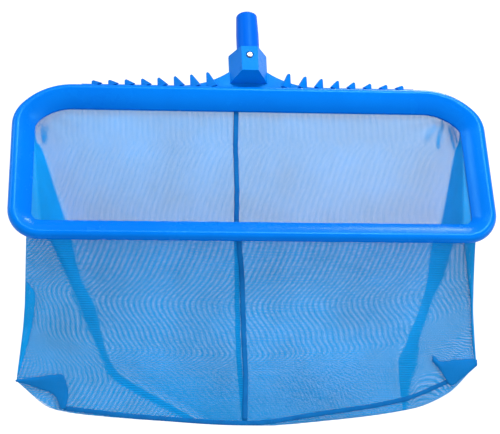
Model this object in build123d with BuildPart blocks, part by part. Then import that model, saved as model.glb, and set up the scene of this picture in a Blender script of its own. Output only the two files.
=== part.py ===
"""Leaf skimmer net with a deep mesh bag, for a telescopic pool pole.

The net is modelled as it hangs from a pole: the bag falls straight down (-Z), and the tool, which is the
stub, the socket and the mouth frame, leans back by `lean`. The origin is on the stub's axis where the stub
leaves its socket. X runs along the mouth, -Y is the side that the mouth opens to.

Tool coordinates: u runs along the mouth (X), v up the stub, w out of the mouth. Rim sections are drawn
with q inwards from the rim's outer edge and d forwards from the rim's front plane.
"""

from build123d import *
from math import cos, exp, hypot, radians, sin, tan
import os

os.makedirs("parts", exist_ok=True)

# driving dimensions, millimetres and degrees
lean = 30.0  # the tool's lean behind the vertical

rim_width = 544.0  # outside, along the lip
rim_taper = 5.0  # how much each side comes in at the shoulders
rim_top = -44.0  # v of the rim's outer edge at the socket side
rim_bottom = -237.0  # v of the rim's outer edge at the skimming lip
rim_front = 4.0  # w of the rim's front plane
bar = 26.0  # width of the sloping rim face
funnel = 15.0  # how far the rim face drops towards the mouth
crown = 3.0  # how far the rim's face swells in front of a flat slope
face = hypot(bar, funnel)  # width of that slope
bead = 6.0  # rounding of the rim's outer edge
wall = 3.0  # moulding thickness
wall_depth = 3.45  # the sloping wall's thickness measured along d
lip_return = 10.0  # depth of the outer edge turned back
corner_low = 35.0  # corner radius at the lip
corner_cut = 36.0  # the shoulder corners are a 45 degree cut, rounded twice
corner_side = 42.0
corner_top = 78.0

stub_r = 13.0
stub_bore = 9.8
stub_land = 24.0  # length of the full-diameter seat for the pole
stub_tip_r = 12.1
stub_length = 46.0  # tube above the socket
stub_depth = 29.0  # tube inside the socket
stub_socket_r = 12.8  # the stub's shoulder rests on the socket's top face
stub_fit = 0.05  # clearance round the stub in its socket
stub_floor = 0.3  # air below the stub
plug_head = 4.0
plug_round = 3.2
plug_spigot = 5.0

socket_length = 37.0
bolt_v = -11.6  # cross bolt through socket and stub
bolt_r = 2.0
bolt_room = 0.1
bolt_recess = 1.0  # the bolt's head sits in a shallow round recess
bolt_recess_r = 4.6
bolt_head_r = 3.5
bolt_head_high = 2.4

rib_count = 8
rib_first = 37.0
rib_pitch = 18.6
rib_low = 3.0  # the ribs fade from tall beside the socket towards this height
rib_rise = 17.3
rib_fade = 4.6

hem_gap = 1.5  # room for the hem between collar and clamp ring
hem_fit = 0.1  # air on each side of the hem
hem_start = 5.0  # q of the hem's outer edge
hem_end = 25.0
ring_start = 4.0  # q of the clamp ring's outer edge
ring_end = 24.0
ring_flange = 3.2  # thickness of the ring's outer flange
ring_back = -14.0  # d of the flange's rear edge
net = 1.2  # thickness of the net's stand-in panels
net_top = -52.0  # Z levels of the bag
net_lip = -192.0
net_low = -420.0
bottom_mid = -413.0  # Z of the bag's lowest seam at the middle
bottom_rise = 12.0  # degrees that the bottom seam climbs to each corner
tape = 6.0

# planes
sin_lean = sin(radians(lean))
cos_lean = cos(radians(lean))
tool = Plane(origin=(0, 0, 0), x_dir=(1, 0, 0), z_dir=(0, -cos_lean, sin_lean))
half_width = rim_width / 2
shoulder_x = half_width - rim_taper


def direction(u, v, w):
    """The world direction of a tool direction."""
    return Vector(u, v * sin_lean - w * cos_lean, v * cos_lean + w * sin_lean)


def at(u, v, w):
    """The world point of a tool point."""
    return direction(u, v, w)


def across(v):
    """Plane square to the stub's axis: local x is u, local y is w, and it faces down the tool."""
    return Plane(origin=at(0, v, 0), x_dir=(1, 0, 0), z_dir=direction(0, -1, 0))


def upward(v):
    """The same plane facing up the tool, with local y backwards."""
    return Plane(origin=at(0, v, 0), x_dir=(1, 0, 0), z_dir=direction(0, 1, 0))


def side_on(u):
    """Plane square to X: local x is v, local y is w."""
    return Plane(origin=at(u, 0, 0), x_dir=direction(0, 1, 0), z_dir=(1, 0, 0))


up_the_stub = Axis(at(0, 0, 0), direction(0, 1, 0))
out_of_mouth = Axis(at(0, 0, 0), direction(0, 0, 1))
rim_section = Plane(origin=at(0, rim_bottom, rim_front), x_dir=direction(0, 1, 0), z_dir=(1, 0, 0))


def front_face(q):
    """Depth of the rim's sloping front face at q from its outer edge."""
    return -funnel * q / bar


def back_face(q):
    """Depth of the rim's sloping back face."""
    return front_face(q) - wall_depth


def rim_route():
    """Corners of the right half of the rim's outer edge, from the lip's middle to the top's middle."""
    return [
        (0, rim_bottom),
        (half_width, rim_bottom),
        (shoulder_x, rim_top - corner_cut),
        (shoulder_x - corner_cut, rim_top),
        (0, rim_top),
    ]


rim_radii = [corner_low, corner_side, corner_top]

# clamp screws: positions (u, v) on the right half, on the middle of the rim face
screw_q = 12.0
screw_shank = 1.5
screw_head = 3.0
screw_head_high = 2.0
screw_room = 0.2  # clearance round a screw's shank
boss_r = 3.2  # the collar's bosses
boss_root = 0.8  # how far a boss's root sinks into the collar's wall
boss_length = 4.0
boss_room = 0.2  # clearance round a boss
ring_boss_r = 5.2  # the clamp ring's bosses
screw_spots = [(u, rim_bottom + screw_q) for u in (40, 120, 200)]
screw_spots += [(u, rim_top - screw_q) for u in (40, 120, 200)]
screw_spots += [(half_width - rim_taper / 2 - screw_q, v) for v in (-180, -115)]
boss_seat = rim_front - 17.0  # w of the screw heads' seats
boss_top = rim_front + back_face(screw_q)


# front collar: the funnel-shaped rim that frames the mouth
face_middle = (bar / 2 + crown * funnel / face, -funnel / 2 + crown * bar / face)
with BuildPart() as front_collar:
    with BuildLine(tool.offset(rim_front)) as collar_line:
        FilletPolyline(*rim_route(), radius=rim_radii)
    with BuildSketch(rim_section) as collar_profile:
        with BuildLine():
            ThreePointArc((0, 0), face_middle, (bar, -funnel))
            Polyline(
                (bar, -funnel),
                (bar, back_face(bar)),
                (wall, back_face(wall)),
                (wall, -lip_return),
                (0, -lip_return),
                (0, 0),
            )
        make_face()
        fillet(collar_profile.vertices().sort_by_distance((0, 0))[0], radius=bead)
        fillet(collar_profile.vertices().group_by(Axis.X)[-1], radius=1.0)
    sweep(path=collar_line.line)
    with BuildSketch(tool.offset(boss_top + boss_root)):
        with Locations(*screw_spots):
            Circle(boss_r)
    extrude(amount=-boss_length)
    with BuildSketch(tool.offset(boss_top + boss_root)):
        with Locations(*screw_spots):
            Circle(screw_shank)
    extrude(amount=-boss_length - 2, mode=Mode.SUBTRACT)
    mirror(about=Plane.YZ)
front_collar.part.label = "front_collar"
export_step(front_collar.part, "parts/front_collar.step")

# bag hem: the edge of the net, folded and clamped between collar and clamp ring
with BuildPart() as bag_hem:
    with BuildLine(tool.offset(rim_front)) as hem_line:
        FilletPolyline(*rim_route(), radius=rim_radii)
    with BuildSketch(rim_section):
        with BuildLine():
            Polyline(
                (hem_start, back_face(hem_start) - hem_fit),
                (hem_end, back_face(hem_end) - hem_fit),
                (hem_end, back_face(hem_end) - hem_gap + hem_fit),
                (hem_start, back_face(hem_start) - hem_gap + hem_fit),
                close=True,
            )
        make_face()
    sweep(path=hem_line.line)
    with BuildSketch(tool.offset(boss_top + 4)):
        with Locations(*screw_spots):
            Circle(boss_r + boss_room)
    extrude(amount=-10, mode=Mode.SUBTRACT)
    mirror(about=Plane.YZ)
bag_hem.part.label = "bag_hem"
export_step(bag_hem.part, "parts/bag_hem.step")


# rear frame: clamp ring, web, ribs and pole socket in one moulding
ring_inside = ring_start + ring_flange
web_front = rim_front - lip_return - 0.5
web_back = web_front - 3.5
web_root = 6.0  # how far the web reaches down behind the rim
flare_foot = 80.0  # where the web's edge levels out beside the socket
flare_rise = 24.0  # height of the web's edge at the socket's side
web_edge = 3.5
web_end = 190.0
socket_side = 21.8
socket_face = 15.5  # w of the socket's front flat
socket_flat = 9.4
socket_shoulder = -7.3
socket_back = -17.0
socket_bevel = (8.0, 5.0)  # bevels along the socket's rear edges: across and deep
socket_front_foot = -31.7  # v where the front flat turns into the sloping underside
socket_rear_foot = -36.8
rib_angle = 38.0
rib_length = 13.5
rib_thick = 2.6
rib_tip = 2.6  # length of a rib's level tip
rib_round = 1.2
rib_sunk = 3.0  # the ribs start this far behind the rim's front plane


def rib_height(index):
    """Height of a rib's tip above the rim's edge: tall beside the socket, low at the ends."""
    return rib_low + rib_rise * exp(-index / rib_fade)


with BuildPart() as rear_frame:
    # clamp ring
    with BuildLine(tool.offset(rim_front)) as ring_line:
        FilletPolyline(*rim_route(), radius=rim_radii)
    with BuildSketch(rim_section):
        with BuildLine():
            Polyline(
                (ring_start, back_face(ring_start) - hem_gap),
                (ring_end, back_face(ring_end) - hem_gap),
                (ring_end, back_face(ring_end) - hem_gap - wall),
                (ring_inside, back_face(ring_inside) - hem_gap - wall),
                (ring_inside, ring_back),
                (ring_start, ring_back),
                close=True,
            )
        make_face()
    sweep(path=ring_line.line)
    # screw bosses on the ring
    with BuildSketch(tool.offset(boss_seat)):
        with Locations(*screw_spots):
            Circle(ring_boss_r)
    extrude(amount=boss_top - hem_gap + 2 - boss_seat)
    # the bosses end flush with the ring, which leaves the hem its room
    with BuildSketch(rim_section):
        with BuildLine():
            Polyline(
                (ring_start, back_face(ring_start) + 5),
                (ring_end, back_face(ring_end) + 5),
                (ring_end, back_face(ring_end) - hem_gap),
                (ring_start, back_face(ring_start) - hem_gap),
                close=True,
            )
        make_face()
    sweep(path=ring_line.line, mode=Mode.SUBTRACT)
    # web that carries the socket and the ribs
    with BuildSketch(tool.offset(web_back)):
        with BuildLine():
            Polyline(
                (0, rim_top + flare_rise),
                (0, rim_top - web_root),
                (web_end, rim_top - web_root),
                (web_end, rim_top + web_edge),
                (flare_foot, rim_top + web_edge),
            )
            flare = TangentArc(
                (flare_foot, rim_top + web_edge), (socket_side - 2, rim_top + flare_rise), tangent=(-1, 0)
            )
            Line(flare @ 1, (0, rim_top + flare_rise))
        make_face()
    extrude(amount=web_front - web_back)
    # ribs, each a fin that runs outwards and back into the web
    for index in range(rib_count):
        foot = at(rib_first + index * rib_pitch, rim_top + 0.4, rim_front - rib_sunk)
        run = direction(cos(radians(rib_angle)), 0, -sin(radians(rib_angle)))
        flank = direction(sin(radians(rib_angle)), 0, cos(radians(rib_angle)))
        with BuildSketch(Plane(origin=foot, x_dir=run, z_dir=flank)) as fin:
            with BuildLine():
                Polyline(
                    (0, 0),
                    (rib_length, 0),
                    (rib_length, rib_height(index)),
                    (rib_length - rib_tip, rib_height(index)),
                    close=True,
                )
            make_face()
            fillet(fin.vertices().group_by(Axis.Y)[-1], radius=rib_round)
        extrude(amount=rib_thick / 2, both=True)
    # socket block
    with BuildSketch(across(0)):
        with BuildLine():
            Polyline(
                (0, socket_face),
                (socket_flat, socket_face),
                (socket_side, socket_shoulder),
                (socket_side, socket_back + socket_bevel[1]),
                (socket_side - socket_bevel[0], socket_back),
                (0, socket_back),
                close=True,
            )
        make_face()
    extrude(amount=socket_length)
    # sloping underside of the socket
    with BuildSketch(side_on(0)):
        with BuildLine():
            Polyline(
                (socket_front_foot, socket_face + 1),
                (socket_front_foot, socket_face),
                (socket_rear_foot, socket_shoulder),
                (socket_rear_foot, web_front),
                (-socket_length - 1, web_front),
                (-socket_length - 1, socket_face + 1),
                close=True,
            )
        make_face()
    extrude(amount=socket_side + 1, mode=Mode.SUBTRACT)
    # bore for the stub
    with BuildSketch(across(0)):
        Circle(stub_socket_r + stub_fit)
    extrude(amount=stub_depth + stub_floor, mode=Mode.SUBTRACT)
    # cross bolt hole with its recess
    with BuildSketch(tool.offset(socket_face)):
        with Locations((0, bolt_v)):
            Circle(bolt_r + bolt_room)
    extrude(amount=2 * socket_back, mode=Mode.SUBTRACT)
    with BuildSketch(tool.offset(socket_face)):
        with Locations((0, bolt_v)):
            Circle(bolt_recess_r)
    extrude(amount=-bolt_recess, mode=Mode.SUBTRACT)
    # room for the collar's bosses and the screws
    with BuildSketch(tool.offset(boss_top + 2)):
        with Locations(*screw_spots):
            Circle(boss_r + boss_room)
    extrude(amount=-6.0, mode=Mode.SUBTRACT)
    with BuildSketch(tool.offset(boss_seat)):
        with Locations(*screw_spots):
            Circle(screw_shank + screw_room)
    extrude(amount=12, mode=Mode.SUBTRACT)
    mirror(about=Plane.YZ)
rear_frame.part.label = "rear_frame"
export_step(rear_frame.part, "parts/rear_frame.step")


# pole stub: straight seat for the pole, then a slightly tapered nose
button_v = 34.0
button_r = 3.2
button_room = 1.1  # clearance round the button, which tilts a little as it goes in
with BuildPart() as pole_stub:
    with BuildSketch(side_on(0)):
        with BuildLine():
            Polyline(
                (-stub_depth, 0),
                (stub_length, 0),
                (stub_length, stub_tip_r),
                (stub_land, stub_r),
                (0, stub_r),
                (0, stub_socket_r),
                (-stub_depth, stub_socket_r),
                close=True,
            )
        make_face()
    revolve(axis=Axis(at(0, 0, 0), direction(0, 1, 0)))
    with BuildSketch(upward(-stub_depth)):
        Circle(stub_bore)
    extrude(amount=stub_depth + stub_length, mode=Mode.SUBTRACT)
    # cross bolt hole
    with BuildSketch(tool):
        with Locations((0, bolt_v)):
            Circle(bolt_r + bolt_room)
    extrude(amount=stub_r + 1, both=True, mode=Mode.SUBTRACT)
    # button hole in the rear wall
    with BuildSketch(tool):
        with Locations((0, button_v)):
            Circle(button_r + button_room)
    extrude(amount=-stub_r - 1, mode=Mode.SUBTRACT)
pole_stub.part.label = "pole_stub"
export_step(pole_stub.part, "parts/pole_stub.step")

# stub end plug: a spigot in the tube under a rounded head
with BuildPart() as stub_end_plug:
    with BuildSketch(upward(stub_length)):
        Circle(stub_tip_r)
    extrude(amount=plug_head)
    fillet(stub_end_plug.edges().sort_by(up_the_stub)[-1], radius=plug_round)
    with BuildSketch(upward(stub_length)):
        Circle(stub_bore - 0.1)
    extrude(amount=-plug_spigot)
stub_end_plug.part.label = "stub_end_plug"
export_step(stub_end_plug.part, "parts/stub_end_plug.step")

# cross bolt, washer and nut that hold the stub in the socket
bolt_seat = socket_face - bolt_recess
bolt_tail = 5.0  # the shank's end behind the socket
cross_long = 3.0  # driving cross in the head
cross_wide = 0.7
cross_deep = 1.2
with BuildPart() as stub_bolt:
    with BuildSketch(tool.offset(bolt_seat)):
        with Locations((0, bolt_v)):
            Circle(bolt_head_r)
    extrude(amount=bolt_head_high)
    fillet(stub_bolt.edges().filter_by(GeomType.CIRCLE).sort_by(out_of_mouth)[-1], radius=1.3)
    with BuildSketch(tool.offset(bolt_seat)):
        with Locations((0, bolt_v)):
            Circle(bolt_r)
    extrude(amount=socket_back - bolt_seat - bolt_tail)
    with BuildSketch(tool.offset(bolt_seat + bolt_head_high)):
        with Locations((0, bolt_v)):
            Rectangle(cross_long, cross_wide)
            Rectangle(cross_wide, cross_long)
    extrude(amount=-cross_deep, mode=Mode.SUBTRACT)
stub_bolt.part.label = "stub_bolt"
export_step(stub_bolt.part, "parts/stub_bolt.step")

washer_thick = 0.8
washer_r = 4.5
nut_r = 4.0  # across its corners, halved
nut_high = 3.2
with BuildPart() as bolt_washer:
    with BuildSketch(tool.offset(socket_back)):
        with Locations((0, bolt_v)):
            Circle(washer_r)
            Circle(bolt_r + 0.15, mode=Mode.SUBTRACT)
    extrude(amount=-washer_thick)
bolt_washer.part.label = "bolt_washer"
export_step(bolt_washer.part, "parts/bolt_washer.step")

with BuildPart() as bolt_nut:
    with BuildSketch(tool.offset(socket_back - washer_thick)):
        with Locations((0, bolt_v)):
            RegularPolygon(nut_r, 6)
            Circle(bolt_r + 0.02, mode=Mode.SUBTRACT)
    extrude(amount=-nut_high)
bolt_nut.part.label = "bolt_nut"
export_step(bolt_nut.part, "parts/bolt_nut.step")

# lock clip: a U of spring strip inside the stub; its rear arm carries the button
strip = 0.8
strip_width = 7.0
bend_v = 9.0
arm_w = 8.2  # w of each arm's outer face
front_arm_top = 30.0
rear_arm_top = 38.5
arm_gap = 0.3  # between the bend's end and the moving arm
with BuildPart() as clip_base:
    with BuildSketch(side_on(-strip_width / 2)):
        with BuildLine():
            Polyline(
                (bend_v, arm_w),
                (front_arm_top, arm_w),
                (front_arm_top, arm_w - strip),
                (bend_v, arm_w - strip),
            )
            ThreePointArc((bend_v, arm_w), (bend_v - arm_w, 0), (bend_v, -arm_w))
            Line((bend_v, -arm_w), (bend_v, -arm_w + strip))
            ThreePointArc((bend_v, -arm_w + strip), (bend_v - arm_w + strip, 0), (bend_v, arm_w - strip))
        make_face()
    extrude(amount=strip_width)
clip_base.part.label = "clip_base"
export_step(clip_base.part, "parts/clip_base.step")

arm_start = bend_v + arm_gap
with BuildPart() as clip_arm:
    with BuildSketch(tool.offset(-arm_w)):
        with Locations((0, (arm_start + rear_arm_top) / 2)):
            Rectangle(strip_width, rear_arm_top - arm_start)
    extrude(amount=strip)
clip_arm.part.label = "clip_arm"
export_step(clip_arm.part, "parts/clip_arm.step")

# lock button: a domed pin on the arm that stands out of the stub's rear wall
button_reach = 15.8
button_round = 2.4
with BuildPart() as lock_button:
    with BuildSketch(tool.offset(-arm_w)):
        with Locations((0, button_v)):
            Circle(button_r)
    extrude(amount=arm_w - button_reach)
    fillet(lock_button.edges().sort_by(out_of_mouth)[0], radius=button_round)
lock_button.part.label = "lock_button"
export_step(lock_button.part, "parts/lock_button.step")

# clamp screws, driven from behind through the ring into the collar's bosses
with BuildPart() as clamp_screws:
    with BuildSketch(tool.offset(boss_seat)):
        with Locations(*screw_spots):
            Circle(screw_head)
    extrude(amount=-screw_head_high)
    fillet(clamp_screws.edges().filter_by(GeomType.CIRCLE).group_by(out_of_mouth)[0], radius=1.0)
    with BuildSketch(tool.offset(boss_seat)):
        with Locations(*screw_spots):
            Circle(screw_shank - 0.02)
    extrude(amount=boss_top - boss_root - boss_seat)
    mirror(about=Plane.YZ)
clamp_screws.part.label = "clamp_screws"
export_step(clamp_screws.part, "parts/clamp_screws.step")

# net bag: plain flat panels with the bag's true outer shape, open at the mouth
net_levels = [net_top, net_lip, net_low]
front_y = {net_top: -92.0, net_lip: -92.0, net_low: -85.0}
back_y = {net_top: -20.0, net_lip: -17.0, net_low: -30.0}
front_x = {net_top: 245.0, net_lip: 247.0, net_low: 259.0}
back_x = {net_top: 242.0, net_lip: 214.0, net_low: 130.0}
mouth_cut = rim_front + back_face(ring_end) - hem_gap - wall - 0.3
climb = radians(bottom_rise)
bottom_plane = Plane(
    origin=(0, 0, bottom_mid),
    x_dir=(cos(climb), 0, sin(climb)),
    z_dir=(-sin(climb), 0, cos(climb)),
)


def level_value(values, z):
    """A value between the lip level and the lowest level."""
    share = (net_lip - z) / (net_lip - net_low)
    return values[net_lip] + share * (values[net_low] - values[net_lip])


def corners(z):
    """Corners of the bag's right half at a level, outer and inner: front middle, front, back, back middle."""
    outer = [(0, front_y[z]), (front_x[z], front_y[z]), (back_x[z], back_y[z]), (0, back_y[z])]
    side = Vector(back_x[z] - front_x[z], back_y[z] - front_y[z])
    side = side / side.length
    inward_x = -side.Y
    inward_y = side.X
    front_run = net * (1 - inward_y) / side.Y
    back_run = net * (1 + inward_y) / side.Y
    inner = [
        (0, front_y[z] + net),
        (front_x[z] + net * inward_x + front_run * side.X, front_y[z] + net),
        (back_x[z] + net * inward_x - back_run * side.X, back_y[z] - net),
        (0, back_y[z] - net),
    ]
    return outer, inner


for side_name, first in (("net_front", 0), ("net_side", 1), ("net_back", 2)):
    with BuildPart() as panel:
        for z in net_levels:
            outer, inner = corners(z)
            with BuildSketch(Plane.XY.offset(z)):
                with BuildLine():
                    Polyline(outer[first], outer[first + 1], inner[first + 1], inner[first], close=True)
                make_face()
        loft(ruled=True)
        split(bisect_by=tool.offset(mouth_cut), keep=Keep.BOTTOM)
        split(bisect_by=bottom_plane, keep=Keep.TOP)
    panel.part.label = side_name + "_right"
    export_step(panel.part, f"parts/{side_name}_right.step")
    left_panel = mirror(panel.part, about=Plane.YZ)
    left_panel.label = side_name + "_left"
    export_step(left_panel, f"parts/{side_name}_left.step")

# the bottom is a shallow chevron between the front and back panels' lower edges
bottom_front = level_value(front_y, bottom_mid + 25)
bottom_back = level_value(back_y, bottom_mid + 25)
bottom_end = level_value(front_x, bottom_mid + 50)
with BuildPart() as net_bottom:
    with BuildSketch(Plane.XZ.offset(-bottom_front)):
        with BuildLine():
            Polyline(
                (0, bottom_mid),
                (bottom_end, bottom_mid + bottom_end * tan(climb)),
                (bottom_end, bottom_mid + bottom_end * tan(climb) - net),
                (0, bottom_mid - net),
                close=True,
            )
        make_face()
    extrude(amount=bottom_front - bottom_back)
    with BuildSketch(Plane.XY.offset(net_low)):
        with BuildLine():
            Polyline(
                (0, bottom_front),
                (bottom_end, bottom_front),
                (level_value(back_x, bottom_mid + 30), bottom_back),
                (0, bottom_back),
                close=True,
            )
        make_face()
    extrude(amount=100, mode=Mode.INTERSECT)
    mirror(about=Plane.YZ)
net_bottom.part.label = "net_bottom"
export_step(net_bottom.part, "parts/net_bottom.step")

# seam tapes: back and front middle, and along the bottom edge
tape_thick = 1.0
tape_gap = 0.1
back_tape_top = -72.0
front_tape_top = net_lip - 6.0
back_tape_x = -13.0  # the middle seams hang a little to one side
front_tape_x = -9.0


def tape_foot(x):
    """Where a middle seam's tape ends, just above the bottom."""
    return bottom_mid + 1 + (abs(x) + tape / 2) * tan(climb)


back_foot = tape_foot(back_tape_x)
with BuildPart() as seam_tape_back:
    with BuildSketch(Plane.YZ.offset(back_tape_x - tape / 2)):
        with BuildLine():
            Polyline(
                (back_y[net_top] + 0.5 + tape_gap, back_tape_top),
                (back_y[net_lip] + tape_gap, net_lip),
                (level_value(back_y, back_foot) + tape_gap, back_foot),
                (level_value(back_y, back_foot) + tape_gap + tape_thick, back_foot),
                (back_y[net_lip] + tape_gap + tape_thick, net_lip),
                (back_y[net_top] + 0.5 + tape_gap + tape_thick, back_tape_top),
                close=True,
            )
        make_face()
    extrude(amount=tape)
seam_tape_back.part.label = "seam_tape_back"
export_step(seam_tape_back.part, "parts/seam_tape_back.step")

front_foot = tape_foot(front_tape_x)
with BuildPart() as seam_tape_front:
    with BuildSketch(Plane.YZ.offset(front_tape_x - tape / 2)):
        with BuildLine():
            Polyline(
                (front_y[net_lip] - tape_gap, front_tape_top),
                (level_value(front_y, front_foot) - tape_gap, front_foot),
                (level_value(front_y, front_foot) - tape_gap - tape_thick, front_foot),
                (front_y[net_lip] - tape_gap - tape_thick, front_tape_top),
                close=True,
            )
        make_face()
    extrude(amount=tape)
seam_tape_front.part.label = "seam_tape_front"
export_step(seam_tape_front.part, "parts/seam_tape_front.step")

bottom_tape_y = -87.3
bottom_tape_end = 240.0
bottom_tape_low = bottom_mid + 1
bottom_tape_high = bottom_mid + 6
with BuildPart() as seam_tape_bottom:
    with BuildSketch(Plane.XZ.offset(-bottom_tape_y)):
        with BuildLine():
            Polyline(
                (0, bottom_tape_low),
                (bottom_tape_end, bottom_tape_low + bottom_tape_end * tan(climb)),
                (bottom_tape_end, bottom_tape_high + bottom_tape_end * tan(climb)),
                (0, bottom_tape_high),
                close=True,
            )
        make_face()
    extrude(amount=tape_thick)
    mirror(about=Plane.YZ)
seam_tape_bottom.part.label = "seam_tape_bottom"
export_step(seam_tape_bottom.part, "parts/seam_tape_bottom.step")

# corner folds: the spare cloth of each bottom corner, folded flat against the front
fold_outline = [(252, -357), (206, -346), (203, -353), (215, -364.5)]  # X and Z of its corners
with BuildPart() as corner_fold_right:
    with BuildSketch(Plane.XZ.offset(-bottom_tape_y + tape_thick + 0.6)):
        with BuildLine():
            Polyline(*fold_outline, close=True)
        make_face()
    extrude(amount=tape_thick)
corner_fold_right.part.label = "corner_fold_right"
export_step(corner_fold_right.part, "parts/corner_fold_right.step")
corner_fold_left = mirror(corner_fold_right.part, about=Plane.YZ)
corner_fold_left.label = "corner_fold_left"
export_step(corner_fold_left, "parts/corner_fold_left.step")
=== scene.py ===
"""The leaf skimmer net's looks: moulded blue plastic, steel parts and a hanging bag of fine mesh.

The bag's places are in millimetres in the frame's own axes (X along the mouth, -Y out of the mouth, Z up) and
turn into metres where a mesh is made. The stage and the lamps are in metres. The bag is built from two hanging
sheets: the front one falls from the skimming lip, the back one falls from the top bar and from both side bars,
folds along each side and meets the front one in the bottom seam.
"""

import bpy
import math
import numpy as np
from mathutils import Matrix, Vector


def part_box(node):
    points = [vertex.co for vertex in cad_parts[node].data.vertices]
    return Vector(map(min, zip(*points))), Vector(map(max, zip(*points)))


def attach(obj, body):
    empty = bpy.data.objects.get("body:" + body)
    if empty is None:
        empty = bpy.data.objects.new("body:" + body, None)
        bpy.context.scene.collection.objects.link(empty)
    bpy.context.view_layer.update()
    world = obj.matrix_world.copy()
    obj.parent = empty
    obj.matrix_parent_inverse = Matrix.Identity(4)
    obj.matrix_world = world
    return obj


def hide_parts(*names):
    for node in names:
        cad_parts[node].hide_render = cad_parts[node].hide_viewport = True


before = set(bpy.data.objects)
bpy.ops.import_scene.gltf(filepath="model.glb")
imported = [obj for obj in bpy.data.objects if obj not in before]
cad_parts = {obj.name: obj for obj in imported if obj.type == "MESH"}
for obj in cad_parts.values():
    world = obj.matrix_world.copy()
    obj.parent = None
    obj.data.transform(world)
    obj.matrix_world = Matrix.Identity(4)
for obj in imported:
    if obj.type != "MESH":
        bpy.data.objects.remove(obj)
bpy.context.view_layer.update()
MM = 0.001
BODY = "net_head"


def box_mm(node):
    """A CAD node's lowest and highest corners in millimetres."""
    return [np.array(corner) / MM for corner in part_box(node)]


# ---------------------------------------------------------------- camera, stage and light

CAMERA_AT = (-244.6, -2318.3, -63.0)
CAMERA_TURN = (-0.0535, -0.0166, -0.1074)  # pitch, roll and yaw, radians
CAMERA_LENS = 146.2
SENSOR = 36.0


def make_camera():
    pitch, roll, yaw = CAMERA_TURN
    turn = Matrix.Rotation(yaw, 3, "Z") @ Matrix.Rotation(pitch, 3, "X") @ Matrix.Rotation(roll, 3, "Y")
    looks_down_minus_z = Matrix.Rotation(math.pi / 2, 3, "X")
    data = bpy.data.cameras.new("camera")
    data.sensor_width = SENSOR
    data.lens = CAMERA_LENS
    data.clip_start = 0.05
    data.clip_end = 40
    camera = bpy.data.objects.new("camera", data)
    camera.matrix_world = Matrix.Translation(Vector(CAMERA_AT) * MM) @ (turn @ looks_down_minus_z).to_4x4()
    bpy.context.scene.collection.objects.link(camera)
    bpy.context.scene.camera = camera


def add_object(name, mesh, *materials):
    made = bpy.data.objects.new(name, mesh)
    bpy.context.scene.collection.objects.link(made)
    for material in materials:
        mesh.materials.append(material)
    return made


def make_stage():
    """A pale round room, wide and deep enough to stay plain from every side: the net hangs in mid-air."""
    floor_z = -6.0
    radius = 10.0
    wall_top = 3.0
    bend = 2.0  # radius of the curve between floor and wall
    bend_steps = 12
    first_ring = 0.0001  # nearly a point, so the floor has no hole
    profile = [(first_ring, floor_z), (radius - bend, floor_z)]
    for step in range(1, bend_steps + 1):
        turn = math.radians(90 * step / bend_steps)
        profile.append((radius - bend + bend * math.sin(turn), floor_z + bend - bend * math.cos(turn)))
    profile.append((radius, wall_top))
    sides = 64
    turns = [2 * math.pi * k / sides for k in range(sides)]
    points = [(r * math.cos(turn), r * math.sin(turn), z) for r, z in profile for turn in turns]
    faces = [
        (i * sides + k, i * sides + (k + 1) % sides, (i + 1) * sides + (k + 1) % sides, (i + 1) * sides + k)
        for i in range(len(profile) - 1)
        for k in range(sides)
    ]
    mesh = bpy.data.meshes.new("backdrop")
    mesh.from_pydata(points, [], faces)
    for face in mesh.polygons:
        face.use_smooth = True
    paper, tree, shader = new_material("backdrop_paper")
    shader.inputs["Base Color"].default_value = (0.3, 0.3, 0.3, 1)
    shader.inputs["Roughness"].default_value = 0.9
    shader.inputs["Specular IOR Level"].default_value = 0.0
    shader.inputs["Emission Color"].default_value = (1, 1, 1, 1)
    parts = node(tree, "ShaderNodeSeparateXYZ")
    tree.links.new(node(tree, "ShaderNodeTexCoord").outputs["Object"], parts.inputs["Vector"])
    glow_from, glow_to = -5.8, -2.8  # the paper brightens between these heights
    glow = map_range(tree, parts.outputs["Z"], glow_from, glow_to, 0.5, 0.93, smooth=True)
    tree.links.new(glow, shader.inputs["Emission Strength"])
    add_object("backdrop", mesh, paper)


def area_light(name, at, aim, size, power):
    data = bpy.data.lights.new(name, "AREA")
    data.shape = "RECTANGLE"
    data.size, data.size_y = size
    data.energy = power
    lamp = bpy.data.objects.new(name, data)
    lamp.location = at
    lamp.rotation_euler = (Vector(aim) - Vector(at)).to_track_quat("-Z", "Y").to_euler()
    bpy.context.scene.collection.objects.link(lamp)


def make_light():
    world = bpy.data.worlds.new("studio")
    bpy.context.scene.world = world
    world.use_nodes = True
    world.node_tree.nodes["Background"].inputs["Color"].default_value = (1, 1, 1, 1)
    world.node_tree.nodes["Background"].inputs["Strength"].default_value = 0.2
    middle = (0, 0, -0.15)
    area_light("key_top", (0.45, -0.95, 1.5), middle, (0.6, 0.5), 22)
    area_light("side_left", (-1.5, -0.25, 1.05), middle, (0.5, 0.8), 9)
    area_light("side_right", (1.4, -0.9, 0.0), middle, (0.2, 0.9), 6)
    area_light("back_top", (0.7, 0.9, 1.5), middle, (0.5, 0.5), 20)
    area_light("strip_top", (0.1, -0.7, 1.6), middle, (1.8, 0.3), 14)


# ---------------------------------------------------------------- materials


def new_material(name):
    material = bpy.data.materials.new(name)
    material.use_nodes = True
    tree = material.node_tree
    return material, tree, tree.nodes["Principled BSDF"]


def node(tree, kind, **settings):
    made = tree.nodes.new(kind)
    for key, value in settings.items():
        setattr(made, key, value)
    return made


def noise(tree, scale, detail):
    made = node(tree, "ShaderNodeTexNoise")
    made.inputs["Scale"].default_value = scale
    made.inputs["Detail"].default_value = detail
    tree.links.new(node(tree, "ShaderNodeTexCoord").outputs["Object"], made.inputs["Vector"])
    return made.outputs["Fac"]


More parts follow.
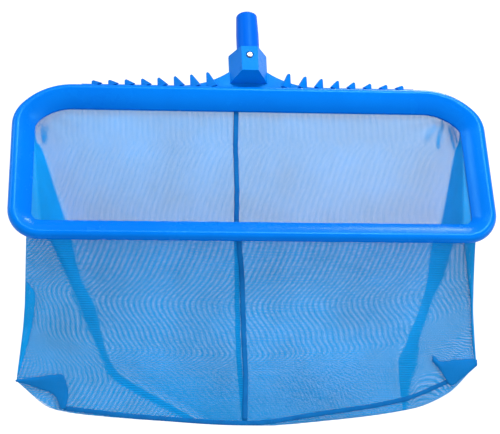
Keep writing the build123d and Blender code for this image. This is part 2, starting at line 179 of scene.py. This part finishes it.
def ramp(tree, value, low, high, dark, light):
    made = node(tree, "ShaderNodeValToRGB")
    made.color_ramp.elements[0].position = low
    made.color_ramp.elements[0].color = (*dark, 1)
    made.color_ramp.elements[1].position = high
    made.color_ramp.elements[1].color = (*light, 1)
    tree.links.new(value, made.inputs["Fac"])
    return made.outputs["Color"]


def map_range(tree, value, low, high, to_low, to_high, smooth=False):
    made = node(tree, "ShaderNodeMapRange")
    if smooth:
        made.interpolation_type = "SMOOTHSTEP"
    for key, number in zip(("From Min", "From Max", "To Min", "To Max"), (low, high, to_low, to_high)):
        made.inputs[key].default_value = number
    tree.links.new(value, made.inputs["Value"])
    return made.outputs["Result"]


def math_node(tree, operation, first, second=None):
    made = node(tree, "ShaderNodeMath", operation=operation)
    for socket, value in zip(made.inputs, (first, second)):
        if value is None:
            continue
        if isinstance(value, (int, float)):
            socket.default_value = value
        else:
            tree.links.new(value, socket)
    return made.outputs["Value"]


def bump(tree, shader, height, strength, distance):
    made = node(tree, "ShaderNodeBump")
    made.inputs["Strength"].default_value = strength
    made.inputs["Distance"].default_value = distance
    tree.links.new(height, made.inputs["Height"])
    tree.links.new(made.outputs["Normal"], shader.inputs["Normal"])


def moulded_plastic(name, deep, bright, rough_low, rough_high, gloss):
    """Injection-moulded plastic: slow colour drift, a fine satin grain and slight flow waves."""
    material, tree, shader = new_material(name)
    tree.links.new(ramp(tree, noise(tree, 9, 3), 0.3, 0.75, deep, bright), shader.inputs["Base Color"])
    rough = map_range(tree, noise(tree, 55, 5), 0.3, 0.7, rough_low, rough_high)
    tree.links.new(rough, shader.inputs["Roughness"])
    grain = math_node(tree, "MULTIPLY", noise(tree, 1400, 2), 0.25)
    bump(tree, shader, math_node(tree, "ADD", noise(tree, 16, 2), grain), 0.14, 0.002)
    shader.inputs["IOR"].default_value = 1.5
    shader.inputs["Specular IOR Level"].default_value = gloss
    shader.inputs["Specular Tint"].default_value = (0.1, 0.75, 1.0, 1)
    return material


def steel(name, light, rough_low, rough_high):
    """Bright steel with fine turning marks."""
    material, tree, shader = new_material(name)
    dark = tuple(0.72 * part for part in light)
    tree.links.new(ramp(tree, noise(tree, 120, 5), 0.3, 0.7, dark, light), shader.inputs["Base Color"])
    rough = map_range(tree, noise(tree, 600, 3), 0.3, 0.7, rough_low, rough_high)
    tree.links.new(rough, shader.inputs["Roughness"])
    bump(tree, shader, noise(tree, 900, 2), 0.08, 0.0005)
    shader.inputs["Metallic"].default_value = 1.0
    return material


def weave_place(tree):
    """Millimetres along (X) and down (Y) the cloth, from its `weave` attribute."""
    along = node(tree, "ShaderNodeAttribute", attribute_name="weave")
    parts = node(tree, "ShaderNodeSeparateXYZ")
    tree.links.new(along.outputs["Vector"], parts.inputs["Vector"])
    return parts.outputs


def cloth_surface(shader, roughness, gloss, sheen):
    shader.inputs["Roughness"].default_value = roughness
    shader.inputs["Specular IOR Level"].default_value = gloss
    shader.inputs["Sheen Weight"].default_value = sheen
    shader.inputs["Sheen Tint"].default_value = (0.0, 0.35, 0.9, 1)


def mesh_cloth(name, thread, across, down):
    """Open mesh. `across` and `down` give the pitch of the threads that run each way, in millimetres,
    the share of the pitch that a thread fills, and how much every second one is thicker. The `weave`
    attribute counts millimetres along and down the cloth, and `gather` says how closely it is bunched up,
    which closes its holes."""
    material, tree, shader = new_material(name)
    weave = weave_place(tree)
    soft = 0.13  # half the width of a thread's soft edge, as a share of the pitch
    bunched = node(tree, "ShaderNodeAttribute", attribute_name="gather").outputs["Fac"]
    cover = []
    for axis, (pitch, width, uneven) in (("X", down), ("Y", across)):
        place = math_node(tree, "DIVIDE", weave[axis], pitch)
        off = math_node(tree, "PINGPONG", place, 0.5)  # 0 at a thread's middle, 0.5 between threads
        beat = math_node(tree, "COSINE", math_node(tree, "MULTIPLY", place, math.pi))
        own = math_node(tree, "ADD", math_node(tree, "MULTIPLY", beat, uneven), width / 2)
        wider = math_node(tree, "MULTIPLY_ADD", bunched, 0.5 - width / 2)
        tree.links.new(own, wider.node.inputs[2])
        edge = math_node(tree, "SUBTRACT", off, wider)
        cover.append(map_range(tree, edge, -soft, soft, 1, 0, smooth=True))
    threads = math_node(tree, "MAXIMUM", cover[0], cover[1])
    tree.links.new(threads, shader.inputs["Alpha"])
    deep = tuple(0.75 * part for part in thread)
    tree.links.new(ramp(tree, noise(tree, 14, 4), 0.3, 0.7, deep, thread), shader.inputs["Base Color"])
    knots = math_node(tree, "MULTIPLY", cover[0], cover[1])
    bump(tree, shader, math_node(tree, "ADD", knots, threads), 0.5, 0.0003)
    cloth_surface(shader, 0.6, 0.12, 0.3)
    return material


def tape_cloth(name, deep, bright):
    """Narrow woven tape with a fine rib and the longer beat of its stitches, both across its length."""
    material, tree, shader = new_material(name)
    rib_pitch, stitch_pitch = 0.8, 3.2
    down = weave_place(tree)["Y"]
    ribs = math_node(tree, "SINE", math_node(tree, "MULTIPLY", down, 2 * math.pi / rib_pitch))
    stitch = math_node(tree, "SINE", math_node(tree, "MULTIPLY", down, 2 * math.pi / stitch_pitch))
    rib_share = map_range(tree, ribs, -1, 1, 0, 1)
    # the tape's colour is lighter on each rib's crest and darker between the ribs, rising and falling with the
    # bump, and drifts at random along the tape
    mixed = math_node(tree, "MULTIPLY", rib_share, 0.5)
    rib_tone_and_drift = math_node(tree, "ADD", mixed, math_node(tree, "MULTIPLY", noise(tree, 60, 4), 0.6))
    tree.links.new(ramp(tree, rib_tone_and_drift, 0.2, 0.85, deep, bright), shader.inputs["Base Color"])
    raised = math_node(tree, "ADD", rib_share, map_range(tree, stitch, 0.2, 0.9, 0, 1.5, smooth=True))
    bump(tree, shader, raised, 0.5, 0.0004)
    cloth_surface(shader, 0.7, 0.15, 0.1)
    return material


# ---------------------------------------------------------------- the bag's shape

# how far inside the hem's box the cloth leaves the clamp, as (Y, Z)
TOP_INSET = (0.2, 24.3)
LIP_INSET = (21.9, 12.3)

hem_low, hem_high = box_mm("bag_hem")
top_z = hem_high[2] - TOP_INSET[1]  # along the top bar
top_y = hem_high[1] - TOP_INSET[0]
lip_z = hem_low[2] + LIP_INSET[1]  # along the lip
lip_y = hem_low[1] + LIP_INSET[0]
LOWEST = -416  # the bottom seam's lowest point
FIRST_GUESS = -400  # where the grids start to look for the bottom seam
corner_z = -90.0  # the rounded shoulder ends here, on the side bars
mouth_slope = (top_y - lip_y) / (top_z - lip_z)

MESH_THICK = 0.15
EAR_THICK = 1.2
SIDE_FOLD_THICK = 0.6
TAPE_THICK = 0.7
TAPE_WIDTH = 5.5
BOTTOM_TAPE_WIDTH = 5.0
TAPE_LIFT = 0.9  # how far a tape lies in front of its sheet
# how tightly the cloth is bunched, 0 to 1, on the side facets; how much denser the back's cloth is made towards
# its left; how tightly it is bunched on the side folds
FACET_GATHER = 0.6
BACK_LEFT_DENSITY = 0.1
SIDE_FOLD_GATHER = 0.35

# the bottom seam as (X, Z), then the bag's side edges as (Z, X)
BOTTOM = [(-259, -366), (-219, -397), (-178, -404), (-60, -413), (10, -416), (90, -410), (182, -397),
          (222, -380), (254, -347)]
EDGE_LEFT = [(-85, -246), (-190, -250), (-290, -251), (-366, -259)]
EDGE_RIGHT = [(-85, 246), (-190, 249), (-275, 248), (-347, 254)]
# the side folds, as (Z, X): where the cloth leaves the front, and where it turns into the back
OUT_LEFT = [(-90, -244), (-106, -242), (-190, -234), (-211, -224), (-233, -213), (-258, -200.5),
            (-287, -188.5), (-315, -175.5), (-339, -163.5), (-361, -153), (-376, -131), (-395, -95),
            (-412, -62)]
IN_LEFT = [(-84, -243.5), (-104, -240.5), (-111, -235), (-152, -220), (-192, -206), (-215, -199),
           (-238, -194), (-260, -188), (-290, -172), (-313, -167), (-340, -160), (-360, -149), (-375, -127),
           (-393, -93), (-412, -57)]
OUT_RIGHT = [(-90, 245), (-102, 243.5), (-190, 235), (-212, 225), (-251, 213), (-270, 203), (-304, 192),
             (-322, 187.5), (-345, 187), (-364, 180), (-390, 176)]
IN_RIGHT = [(-84, 244.5), (-99, 243), (-106, 239.5), (-147, 232), (-190, 224), (-217, 214), (-257, 210),
            (-277, 206), (-300, 199), (-318, 190), (-332, 184), (-348, 174), (-366, 173), (-390, 172.5)]


def curve(points, at):
    """A smooth line through a few (place, value) points, without overshoot, read at the places `at`."""
    points = sorted(points)
    x = np.array([p[0] for p in points], float)
    y = np.array([p[1] for p in points], float)
    slope = np.diff(y) / np.diff(x)
    turn = np.zeros(len(x))
    turn[0], turn[-1] = slope[0], slope[-1]
    same = slope[:-1] * slope[1:] > 0
    turn[1:-1][same] = 2 / (1 / slope[:-1][same] + 1 / slope[1:][same])
    at = np.clip(at, x[0], x[-1])
    k = np.clip(np.searchsorted(x, at) - 1, 0, len(x) - 2)
    h = x[k + 1] - x[k]
    t = (at - x[k]) / h
    return ((1 + 2 * t) * (1 - t) ** 2 * y[k] + t * (1 - t) ** 2 * h * turn[k]
            + t * t * (3 - 2 * t) * y[k + 1] + t * t * (t - 1) * h * turn[k + 1])


def smooth(t):
    """0 below 0, 1 above 1, and an S-shaped rise between them."""
    t = np.clip(t, 0, 1)
    return t * t * (3 - 2 * t)


def mouth_y(z):
    """Depth of the sloping mouth at a height, just behind the clamp."""
    return top_y + mouth_slope * np.minimum(z - top_z, 0) - 2


def front_y(x, z):
    """Depth of the front sheet: it falls from the lip, drifts back a little and curls under at the hem."""
    down = (lip_z - z) / (lip_z - LOWEST)
    ripple = 0.6 * np.sin(x / 21 + 0.8 * np.sin(z / 60)) * np.exp(-((lip_z - z) / 60))
    sway = 1.8 * np.sin(x / 95 + 1.1) * smooth(down * 1.6) + 0.7 * np.sin(x / 41 - z / 110) * smooth(down * 2)
    crease = -1.6 * np.exp(-((x - 52 - (z + 308) * 0.24) / 5) ** 2) * smooth((-300 - z) / 25)
    return lip_y + 5 * down + ripple + 0.6 * sway + crease


def bottom_z(x):
    return curve(BOTTOM, x)


def edge_y(x, z):
    """Depth of the bag's side edges: on the side bars above the lip, on the front sheet below it."""
    below = smooth((lip_z + 6 - z) / 12)
    return mouth_y(z) * (1 - below) + front_y(x, z) * below


def full_y(x, z):
    """Depth of the back sheet's middle: it hangs from the top bar and is pulled forward low down."""
    drop = (top_z - z) / (top_z - LOWEST)
    hang = top_y + 3.5 * np.sin(np.pi * np.clip(drop, 0, 1)) ** 1.2 - 5 * drop**3
    waves = 1.4 * np.sin(x / 60 + 0.5) * np.sin(np.pi * np.clip(drop, 0, 1))
    return hang + waves + corner_gathers(x, z)


# sharp pleats near the two upper corners: X and Z of each end, half width, how tightly the cloth bunches
PLEATS = [
    (223, -76, 218.5, -105, 1.7, 0.8),
    (216, -78, 204, -97, 3.0, 0.25),
    (231, -80, 238.5, -107, 1.5, 0.75),
    (235, -79, 242, -101, 1.4, 0.6),
    (-233, -87, -231.5, -107, 1.8, 0.6),
    (-228.5, -87, -230, -103, 1.6, 0.35),
]


def pleats(x, z):
    """How tightly the cloth is bunched into its sharp pleats: each fades in at one end and out at the other."""
    total = np.zeros(np.broadcast(x, z).shape)
    for x0, z0, x1, z1, width, strength in PLEATS:
        run = np.array([x1 - x0, z1 - z0], float)
        length = np.hypot(*run)
        run = run / length
        along = ((x - x0) * run[0] + (z - z0) * run[1]) / length
        off = np.abs((x - x0) * run[1] - (z - z0) * run[0])
        across = np.exp(-((off / width) ** 2))
        total = total + strength * across * smooth((along + 0.3) / 0.6) * smooth((1.15 - along) / 0.3)
    return total


def corner_gathers(x, z):
    """Small soft folds that run out of the two upper corners, where the cloth is clamped round them."""
    total = np.zeros(np.broadcast(x, z).shape)
    for side, size, count in ((-1, 1.2, 13), (1, 2.2, 17)):
        away_x = side * 246 - x
        away_z = -62 - z
        r = np.hypot(away_x, away_z)
        turn = np.arctan2(away_z, side * away_x)
        total = total + size * np.sin(count * turn) * smooth(r / 14) * np.exp(-((r / 46) ** 2))
    return total - 2.5 * pleats(x, z)


def arc_lengths(grid):
    """Millimetres along the rows, counted from the middle column, and down the columns."""
    along = np.zeros(grid.shape[:2])
    along[:, 1:] = np.cumsum(np.linalg.norm(np.diff(grid, axis=1), axis=2), axis=1)
    along -= along[:, [grid.shape[1] // 2]]
    down = np.zeros(grid.shape[:2])
    down[1:] = np.cumsum(np.linalg.norm(np.diff(grid, axis=0), axis=2), axis=0)
    return along, down


def cloth(name, grid, material, thickness, gather=None):
    """A sheet from a grid of points, rows from the top down, with real thickness."""
    rows, columns = grid.shape[:2]
    faces = [
        (r * columns + c, r * columns + c + 1, (r + 1) * columns + c + 1, (r + 1) * columns + c)
        for r in range(rows - 1)
        for c in range(columns - 1)
    ]
    mesh = bpy.data.meshes.new(name)
    mesh.from_pydata((grid.reshape(-1, 3) * MM).tolist(), [], faces)
    for face in mesh.polygons:
        face.use_smooth = True
    along, down = arc_lengths(grid)
    weave = mesh.attributes.new("weave", "FLOAT_VECTOR", "POINT")
    weave.data.foreach_set("vector", np.stack([along, down, 0 * down], axis=2).astype(np.float32).ravel())
    density = mesh.attributes.new("gather", "FLOAT", "POINT")
    values = np.zeros(grid.shape[:2]) if gather is None else gather
    density.data.foreach_set("value", values.astype(np.float32).ravel())
    made = add_object(name, mesh, material)
    shell = made.modifiers.new("thickness", "SOLIDIFY")
    shell.thickness = thickness * MM
    shell.offset = 0
    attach(made, BODY)
    return made


def flat_size(grid):
    """Width and length in metres of the cut cloth, and its area."""
    along, down = arc_lengths(grid)
    width = float((along[:, -1] - along[:, 0]).max()) * MM
    length = float(down[-1].max()) * MM
    a = grid[1:, :-1] - grid[:-1, :-1]
    b = grid[:-1, 1:] - grid[:-1, :-1]
    area = float(np.linalg.norm(np.cross(a, b), axis=2).sum()) * MM * MM
    return (round(width, 3), round(length, 3)), round(area, 4)


def front_grid():
    rows = np.linspace(0, 1, 60)[:, None]
    columns = np.linspace(-1, 1, 121)[None, :]
    z = lip_z + rows * (FIRST_GUESS - lip_z) + 0 * columns
    for _ in range(6):
        left = curve(EDGE_LEFT, z)
        right = curve(EDGE_RIGHT, z)
        x = left + (right - left) * (columns + 1) / 2
        low = bottom_z(x)
        z = lip_z + rows * (low - lip_z)
    y = front_y(x, z)
    return np.stack([x, y, z], axis=2)


def back_grid():
    """Rows from the top bar to the bottom seam; columns along the left fold, the back and the right fold."""
    rows = np.linspace(0, 1, 130)[:, None]
    shares = np.concatenate([np.linspace(0, 1, 9)[:-1], 1 + np.linspace(0, 1, 13)[:-1],
                             2 + np.linspace(0, 1, 161)[:-1], 3 + np.linspace(0, 1, 13)[:-1],
                             4 + np.linspace(0, 1, 9)])[None, :]
    z = top_z + rows * (FIRST_GUESS - top_z) + 0 * shares
    shoulder_from, shoulder_width = 200, 46
    for _ in range(8):
        stops_x = np.stack([curve(EDGE_LEFT, z), curve(OUT_LEFT, z), curve(IN_LEFT, z), curve(IN_RIGHT, z),
                            curve(OUT_RIGHT, z), curve(EDGE_RIGHT, z)])
        k = np.clip(shares.astype(int), 0, 4) + np.zeros(z.shape, int)
        t = shares - k
        before = np.take_along_axis(stops_x, k[None], 0)[0]
        after = np.take_along_axis(stops_x, k[None] + 1, 0)[0]
        x = before * (1 - t) + after * t
        round_the_corner = np.clip((np.abs(x) - shoulder_from) / shoulder_width, 0, 1)
        high = top_z + 5 + (corner_z - top_z) * round_the_corner**2.2
        low = bottom_z(x)
        z = high + rows * (low - high)
    edge = edge_y(x, z)
    full = full_y(x, z)
    deep = np.interp(shares, [0, 1, 2, 3, 4, 5], [0, 0.03, 1, 1, 0.03, 0]) + 0 * z
    y = edge + (full - edge) * deep
    # the pocket closes towards the bottom seam, over this height, and ends this far behind the front sheet
    closing, behind = 95, 1.2
    shut = (1 - np.clip((z - low) / closing, 0, 1)) ** 1.8
    y = y + (front_y(x, z) + behind - y) * shut
    return np.stack([x, y, z], axis=2), shares + 0 * z


def smoothed(grid, times):
    """Rounds the folds: each inner point moves towards the mean of its neighbours along the row."""
    for _ in range(times):
        grid = grid.copy()
        grid[1:-1, 1:-1] = 0.5 * grid[1:-1, 1:-1] + 0.25 * (grid[1:-1, :-2] + grid[1:-1, 2:])
    return grid


def ribbon(name, line, width, material, side=(1, 0, 0)):
    """A narrow tape laid along a line of points, with its two edges bent back a little."""
    bent_back = 0.35
    line = np.array(line, float)
    side = np.array(side, float)
    grid = np.stack([line + side * width * (k - 2) / 4 for k in range(5)], axis=1)
    grid[:, 0, 1] += bent_back
    grid[:, -1, 1] += bent_back
    return cloth(name, grid, material, TAPE_THICK)


# the folded corners: spare cloth turned up over the front, as (X, Z) along the outer and the inner edge
EARS = {
    "corner_fold_left": (
        [(-260, -365), (-236, -361.5), (-211, -358), (-206, -363), (-202.5, -381), (-205, -396)],
        [(-259.5, -366), (-250, -368.5), (-237, -373), (-220, -379.5), (-214, -386), (-211, -397)],
    ),
    "corner_fold_right": (
        [(204, -336), (214, -343), (227, -341), (240, -340), (250, -339.5), (254.5, -341)],
        [(203.5, -342), (212, -351), (219, -362), (226, -370), (240, -360), (254.5, -347)],
    ),
}

# the spare cloth beside each side seam, in front of the front sheet and not joined to it
SIDE_FOLDS = {
    "side_fold_left": (
        [(-249.8, -256), (-250.3, -270), (-251.8, -300), (-254.8, -330), (-258.2, -360)],
        [(-249.0, -256), (-239.5, -272), (-242.0, -300), (-248.5, -330), (-257.2, -360)],
    ),
    "side_fold_right": (
        [(249.5, -200), (248.5, -235), (248.3, -275), (250.5, -312), (253.5, -344)],
        [(235, -200), (240, -235), (245.5, -275), (248, -312), (252.3, -344)],
    ),
}


def fold_grid(outer, inner):
    """A strip of cloth between two edges, rounded, curled, a little in front of the front sheet."""
    place = np.linspace(0, len(outer) - 1, 31)
    steps = np.arange(len(outer))
    sides = []
    for edge in (outer, inner):
        sides.append([curve(list(zip(steps, [p[axis] for p in edge])), place) for axis in (0, 1)])
    across = np.linspace(0, 1, 13)[:, None]
    x = sides[0][0] * (1 - across) + sides[1][0] * across
    z = sides[0][1] * (1 - across) + sides[1][1] * across
    lift = 1.6 + 1.4 * np.sin(np.pi * across) + 0.5 * np.sin(x / 5) * np.sin(z / 7)
    return np.stack([x, front_y(x, z) - lift, z], axis=2)


# ---------------------------------------------------------------- build

bpy.context.scene.view_settings.view_transform = "Standard"
make_camera()
make_stage()
make_light()

frame_blue = moulded_plastic("frame_moulding", (0.0, 0.14, 0.66), (0.0, 0.175, 0.74), 0.2, 0.3, 0.25)
rear_blue = moulded_plastic("rear_moulding", (0.0, 0.14, 0.56), (0.0, 0.18, 0.68), 0.24, 0.36, 0.1)
stub_blue = moulded_plastic("stub_tube", (0.0, 0.09, 0.56), (0.0, 0.12, 0.68), 0.3, 0.42, 0.1)
bright_steel = steel("bright_steel", (0.50, 0.51, 0.54), 0.18, 0.34)
spring_steel = steel("spring_steel", (0.62, 0.62, 0.60), 0.25, 0.42)
front_mesh = mesh_cloth("mesh_front", (0.0, 0.375, 0.93), across=(1.3, 0.48, 0.15), down=(1.1, 0.38, 0.0))
back_mesh = mesh_cloth("mesh_back", (0.0, 0.35, 0.89), across=(0.7, 0.5, 0.03), down=(1.38, 0.32, 0.0))
folded_mesh = mesh_cloth("mesh_folded", (0.0, 0.20, 0.62), across=(1.1, 0.8, 0.0), down=(1.1, 0.8, 0.0))
seam_cloth = tape_cloth("seam_tape_cloth", (0.0, 0.09, 0.36), (0.0, 0.19, 0.56))

FINISHES = {
    "front_collar": frame_blue,
    "rear_frame": rear_blue,
    "pole_stub": stub_blue,
    "stub_end_plug": stub_blue,
    "stub_bolt": bright_steel,
    "bolt_washer": bright_steel,
    "bolt_nut": bright_steel,
    "clamp_screws": bright_steel,
    "clip_base": spring_steel,
    "clip_arm": spring_steel,
    "lock_button": spring_steel,
}
for node_name, material in FINISHES.items():
    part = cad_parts[node_name]
    for place in part.material_slots:
        place.material = material

front = front_grid()
front_sheet = cloth("net_front_sheet", front, front_mesh, MESH_THICK)
back_flat, shares = back_grid()
back = smoothed(back_flat, 2)
side_on = np.minimum(shares, 5 - shares)  # 0 at the bag's edges, 1 to 2 across the side folds
# the side facets are bunched, and above the lip so is the cloth out to the bag's edges
above_lip = smooth((back_flat[:, :, 2] - lip_z + 14) / 8)
bunch = np.maximum(smooth((side_on - 0.98) / 0.1), above_lip) - smooth((side_on - 1.91) / 0.1)
# the back's cloth is made denser, so darker, towards the left
bunch = FACET_GATHER * np.clip(bunch, 0, 1) + BACK_LEFT_DENSITY * smooth(0.5 - back_flat[:, :, 0] / 400)
bunch = bunch + pleats(back_flat[:, :, 0], back_flat[:, :, 2])
back_sheet = cloth("net_back_sheet", back, back_mesh, MESH_THICK, bunch)

folds = []
for fold_name, (outer, inner) in {**EARS, **SIDE_FOLDS}.items():
    grid = fold_grid(outer, inner)
    if fold_name in EARS:
        fold = cloth(fold_name + "_cloth", grid, folded_mesh, EAR_THICK)
        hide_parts(fold_name)
    else:
        gather = np.full(grid.shape[:2], SIDE_FOLD_GATHER)
        fold = cloth(fold_name + "_cloth", grid, back_mesh, SIDE_FOLD_THICK, gather)
    folds.append((fold, grid))

down = np.linspace(0, 1, 90)
z = lip_z + 2 + down * (-411 - lip_z)
x = curve([(-190, -16), (-212, -16), (-241, -13), (-315, -9), (-370, -6), (-412, -6)], z)
line = np.stack([x, front_y(x, z) - TAPE_LIFT, z], axis=1)
front_tape = ribbon("seam_tape_front_cloth", line, TAPE_WIDTH, seam_cloth)
z = top_z + 1 + down * (-412 - top_z)
x = curve([(-66, -15), (-96, -15), (-123, -14), (-150, -12.5), (-192, -12), (-412, -6)], z)
tape_x = -13  # the back tape's mean place, which picks the column of the back sheet that it lies on
inside = np.argmin(np.abs(back[:, :, 0].mean(0) - tape_x))
y = np.interp(-z, -back[:, inside, 2], back[:, inside, 1]) - TAPE_LIFT
back_tape = ribbon("seam_tape_back_cloth", np.stack([x, y, z], axis=1), TAPE_WIDTH, seam_cloth)
x = np.linspace(-207, 226, 110)
z = curve([(-207, -396), (-120, -406), (-5, -413), (80, -402), (169, -387), (226, -364)], x)
line = np.stack([x, front_y(x, z) - TAPE_LIFT, z], axis=1)
bottom_tape = ribbon("seam_tape_bottom_cloth", line, BOTTOM_TAPE_WIDTH, seam_cloth, side=(0, 0, -1))

for piece, grid, hangs_on, sewn_on in (
    (front_sheet, front, ["front_collar"], [front_tape, bottom_tape]),
    (back_sheet, back, ["front_collar", "rear_frame"], [back_tape]),
    *((fold, grid, ["net_front_sheet"], []) for fold, grid in folds),
):
    size, area = flat_size(grid)

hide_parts("net_front_left", "net_front_right")
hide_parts("net_back_left", "net_back_right", "net_side_left", "net_side_right", "net_bottom",
            "bag_hem")
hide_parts("seam_tape_front")
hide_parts("seam_tape_back")
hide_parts("seam_tape_bottom")
